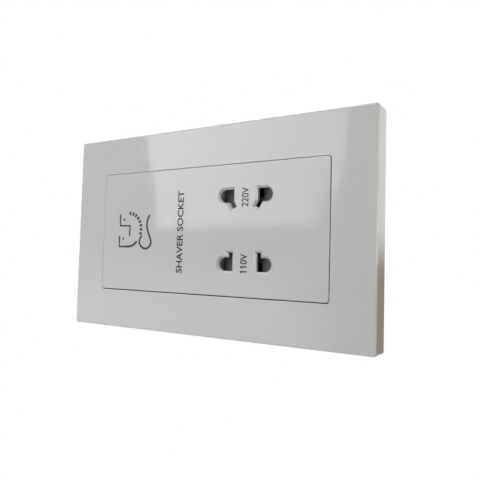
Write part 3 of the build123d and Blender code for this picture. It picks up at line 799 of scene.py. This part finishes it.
# Floor and light: a pale floor well below the part, in an even room that looks white from the front and
# pale grey from behind. A bank of soft strip lamps with a shade leans in from the left, wide lamps fill in
# from above and from behind, and large cards that show only in gloss give the plastic something to mirror.
floor_drop = 0.3
floor_half = 6.0
floor_colour = (0.8, 0.8, 0.79, 1.0)
floor_roughness = 0.9
floor_glow = (0.38, 0.38, 0.38, 1.0)
floor_fade = (0.2, 0.55)
room_level = 0.25
backdrop_white = (1.0, 1.0, 1.0, 1.0)
backdrop_grey = (0.72, 0.72, 0.72, 1.0)
backdrop_turn = (-0.2, 0.4)
bank_foot = (-1.2, 0.095)
bank_lean = math.radians(11.0)
bank_strips = ((-1.075, -0.78, 3.75), (-0.78, -0.62, 3.5), (-0.62, -0.5, 3.0), (-0.5, -0.34, 2.5))
glow_height = 0.85
strip_height = 0.42
strip_gap = 0.004
shade_edge = ((-0.455, -0.02), (-0.415, 0.1), (-0.389, 0.17), (-0.372, 0.3), (-0.36, 0.9))
shade_right = -0.25
shade_gap = 0.012
shade_tone = (0.2, 0.2, 0.2, 1.0)
part_centre = (0.0, 0.0, 0.0)
fill_centre = (-0.22, -0.95, 1.35)
fill_size = (1.0, 0.6)
fill_level = 8.85
back_fill_centre = (-0.9, 1.1, 0.7)
back_fill_size = (1.0, 1.0)
back_fill_level = 3.6
back_card_pale = (2.1, 2.1, 2.0, 1.0)
back_card_warm = (0.46, 0.23, 0.04, 1.0)
back_card_distance = 0.9
back_card_reach = (0.1, 1.1)
back_card_blend = (-0.045, 0.075)
card_heights = (-0.7, 0.9)
right_card_pale = (7.5, 7.5, 7.3, 1.0)
right_card_warm = (3.2, 3.0, 2.8, 1.0)
right_card_distance = 1.1
right_card_reach = (-1.0, 0.9)
right_card_blend = (-0.09, 0.03)
right_card_fade = (-0.95, -0.6)
right_card_top = (0.42, 0.28)
black = (0.0, 0.0, 0.0, 1.0)
front_card_pale = (1.75, 1.75, 1.72, 1.0)
front_card_distance = -1.3
front_card_reach = (-2.8, 0.8)
front_card_heights = (-0.295, 1.4)
front_card_low_blend = (-0.68, -0.36)
front_card_blend = (-0.2, 0.09)
front_card_left_edge = (-2.1, -1.3)
front_card_right_edge = (0.8, 0.0)
front_card_top_edge = (1.4, 1.0)
corner_order = ((0, 0), (1, 0), (1, 1), (0, 1))


def seen_rays(tree):
    """A mask of the rays that see a background: the camera's, and those in gloss and glass."""
    paths = add_node(tree, "ShaderNodeLightPath").outputs
    direct = maths(tree, "MAXIMUM", paths["Is Camera Ray"], paths["Is Glossy Ray"])
    return maths(tree, "MAXIMUM", direct, paths["Is Transmission Ray"])


def eased(tree, value, ends):
    """A smooth ramp from 0 at the first end to 1 at the second."""
    return add_node(
        tree,
        "ShaderNodeMapRange",
        {"Value": value, "From Min": ends[0], "From Max": ends[1]},
        interpolation_type="SMOOTHSTEP",
    ).outputs[0]


def levelled(tree, vector):
    """A vector without its upward share."""
    return add_node(
        tree, "ShaderNodeVectorMath", {0: vector, 1: (1.0, 1.0, 0.0)}, operation="MULTIPLY"
    ).outputs["Vector"]


def backdrop(tree, direction):
    """White seen from the front and pale grey seen from behind, where only the camera sees the grey."""
    way = add_node(tree, "ShaderNodeVectorMath", {0: levelled(tree, direction)}, operation="NORMALIZE")
    from_front = eased(tree, axes_of(tree, way.outputs["Vector"])["Y"], backdrop_turn)
    unseen = maths(tree, "SUBTRACT", 1.0, add_node(tree, "ShaderNodeLightPath").outputs["Is Camera Ray"])
    return blended(tree, maths(tree, "MAXIMUM", from_front, unseen), backdrop_grey, backdrop_white)


floor_ends = (-floor_half, floor_half)
floor_mesh = bpy.data.meshes.new("floor")
floor_mesh.from_pydata(
    [(floor_ends[i], floor_ends[j], -floor_drop) for i, j in corner_order], [], [range(len(corner_order))]
)
floor = bpy.data.objects.new("floor", floor_mesh)
scene.collection.objects.link(floor)
floor_paint = bpy.data.materials.new("floor_paint")
floor_paint.use_nodes = True
tree = floor_paint.node_tree
shader = tree.nodes["Principled BSDF"]
shader.inputs["Base Color"].default_value = floor_colour
shader.inputs["Roughness"].default_value = floor_roughness
shader.inputs["Emission Color"].default_value = floor_glow
seen = seen_rays(tree)
tree.links.new(seen, shader.inputs["Emission Strength"])
place = own_place(tree)
away = add_node(tree, "ShaderNodeVectorMath", {0: levelled(tree, place)}, operation="LENGTH")
far_share = maths(tree, "MULTIPLY", eased(tree, away.outputs["Value"], floor_fade), seen)
far_floor = add_node(tree, "ShaderNodeEmission", {"Color": backdrop(tree, place), "Strength": 1.0})
floor_mix = add_node(
    tree, "ShaderNodeMixShader", {0: far_share, 1: shader.outputs[0], 2: far_floor.outputs[0]}
)
tree.links.new(floor_mix.outputs[0], tree.nodes["Material Output"].inputs["Surface"])
floor_mesh.materials.append(floor_paint)

world = bpy.data.worlds.new("white_room")
scene.world = world
world.use_nodes = True
tree = world.node_tree
level = add_node(tree, "ShaderNodeMix", {0: seen_rays(tree), 2: room_level, 3: 1.0})
direction = add_node(tree, "ShaderNodeTexCoord").outputs["Generated"]
tree.links.new(backdrop(tree, direction), tree.nodes["Background"].inputs["Color"])
tree.links.new(level.outputs[0], tree.nodes["Background"].inputs["Strength"])


def soft_lamp(name, centre, aim, size, radiance):
    """A flat lamp of even brightness that the camera doesn't see."""
    lamp = bpy.data.lights.new(name, "AREA")
    lamp.shape = "RECTANGLE"
    lamp.size, lamp.size_y = size
    lamp.energy = math.pi * size[0] * size[1] * radiance
    holder = bpy.data.objects.new(name, lamp)
    holder.location = centre
    holder.rotation_euler = (Vector(aim) - Vector(centre)).to_track_quat("-Z", "Y").to_euler()
    holder.visible_camera = False
    scene.collection.objects.link(holder)
    return holder


rise = Vector((0.0, math.sin(bank_lean), math.cos(bank_lean)))
facing = Vector((0.0, math.cos(bank_lean), -math.sin(bank_lean)))
for number, (left, right, radiance) in enumerate(bank_strips):
    width = right - left
    foot = Vector(((left + right) / 2, *bank_foot))
    middle = foot + rise * glow_height / 2
    glow = soft_lamp(f"bank_glow_{number}", middle, middle + facing, (width, glow_height), radiance)
    glow.visible_glossy = False
    middle = foot + rise * strip_height / 2 + facing * strip_gap
    strip = soft_lamp(f"bank_strip_{number}", middle, middle + facing, (width, strip_height), radiance)
    strip.visible_diffuse = False
fill = soft_lamp("fill", fill_centre, part_centre, fill_size, fill_level)
fill.visible_glossy = False
soft_lamp("back_fill", back_fill_centre, part_centre, back_fill_size, back_fill_level)


def gloss_card(name, corners, shadow=False):
    """A large card that shows only in gloss. Gives its tree, its axes and the socket of what it shows."""
    mesh = bpy.data.meshes.new(name)
    mesh.from_pydata(corners, [], [range(len(corners))])
    card = bpy.data.objects.new(name, mesh)
    scene.collection.objects.link(card)
    paint = bpy.data.materials.new(name)
    paint.use_nodes = True
    tree = paint.node_tree
    shader = tree.nodes["Principled BSDF"].inputs
    shader["Base Color"].default_value = black
    shader["Specular IOR Level"].default_value = 0.0
    shader["Emission Strength"].default_value = 1.0
    mesh.materials.append(paint)
    card.visible_camera = False
    card.visible_diffuse = False
    card.visible_transmission = False
    card.visible_shadow = shadow
    return tree, axes_of(tree, own_place(tree)), shader["Emission Color"]


tree, axes, shown = gloss_card(
    "back_card", [(back_card_reach[i], back_card_distance, card_heights[j]) for i, j in corner_order]
)
back_tone = blended(tree, eased(tree, axes["Z"], back_card_blend), back_card_warm, back_card_pale)
tree.links.new(back_tone, shown)

tree, axes, shown = gloss_card(
    "right_card", [(right_card_distance, right_card_reach[i], card_heights[j]) for i, j in corner_order]
)
right_tone = blended(tree, eased(tree, axes["Z"], right_card_blend), right_card_warm, right_card_pale)
right_share = maths(
    tree, "MULTIPLY", eased(tree, axes["Y"], right_card_fade), eased(tree, axes["Z"], right_card_top)
)
tree.links.new(blended(tree, right_share, backdrop_white, right_tone), shown)

shade_outline = [*shade_edge, (shade_right, shade_edge[-1][1]), (shade_right, shade_edge[0][1])]
tree, axes, shown = gloss_card(
    "shade",
    [Vector((x, *bank_foot)) + rise * height + facing * shade_gap for x, height in shade_outline],
    shadow=True,
)
shown.default_value = shade_tone

tree, axes, shown = gloss_card(
    "front_card",
    [(front_card_reach[i], front_card_distance, front_card_heights[j]) for i, j in corner_order],
)
low_tone = blended(tree, eased(tree, axes["X"], front_card_low_blend), front_card_pale, black)
front_tone = blended(tree, eased(tree, axes["Z"], front_card_blend), low_tone, shade_tone)
side_share = maths(
    tree,
    "MULTIPLY",
    eased(tree, axes["X"], front_card_left_edge),
    eased(tree, axes["X"], front_card_right_edge),
)
front_share = maths(tree, "MULTIPLY", side_share, eased(tree, axes["Z"], front_card_top_edge))
tree.links.new(blended(tree, front_share, backdrop_white, front_tone), shown)

# Camera: close to the part, to its right and a little below, at the photograph's viewing angle.
# Its place, turn and lens are fitted to the corners of the cover frame.
eye = Vector((0.1294727, -0.182734, -0.0124456))
forward = Vector((-0.534949, 0.843199, 0.053339))
upwards = Vector((0.006376, -0.059101, 0.998232))
view = bpy.data.cameras.new("photo_view")
view.sensor_width = 36.0
view.lens = 39.857
view.shift_x = -0.00152
view.shift_y = -0.01374
view.clip_start = 0.01
camera = bpy.data.objects.new("photo_view", view)
sideways = forward.cross(upwards).normalized()
camera.matrix_world = Matrix.Translation(eye) @ Matrix((sideways, upwards, -forward)).transposed().to_4x4()
scene.collection.objects.link(camera)
scene.camera = camera

scene.view_settings.view_transform = "Standard"
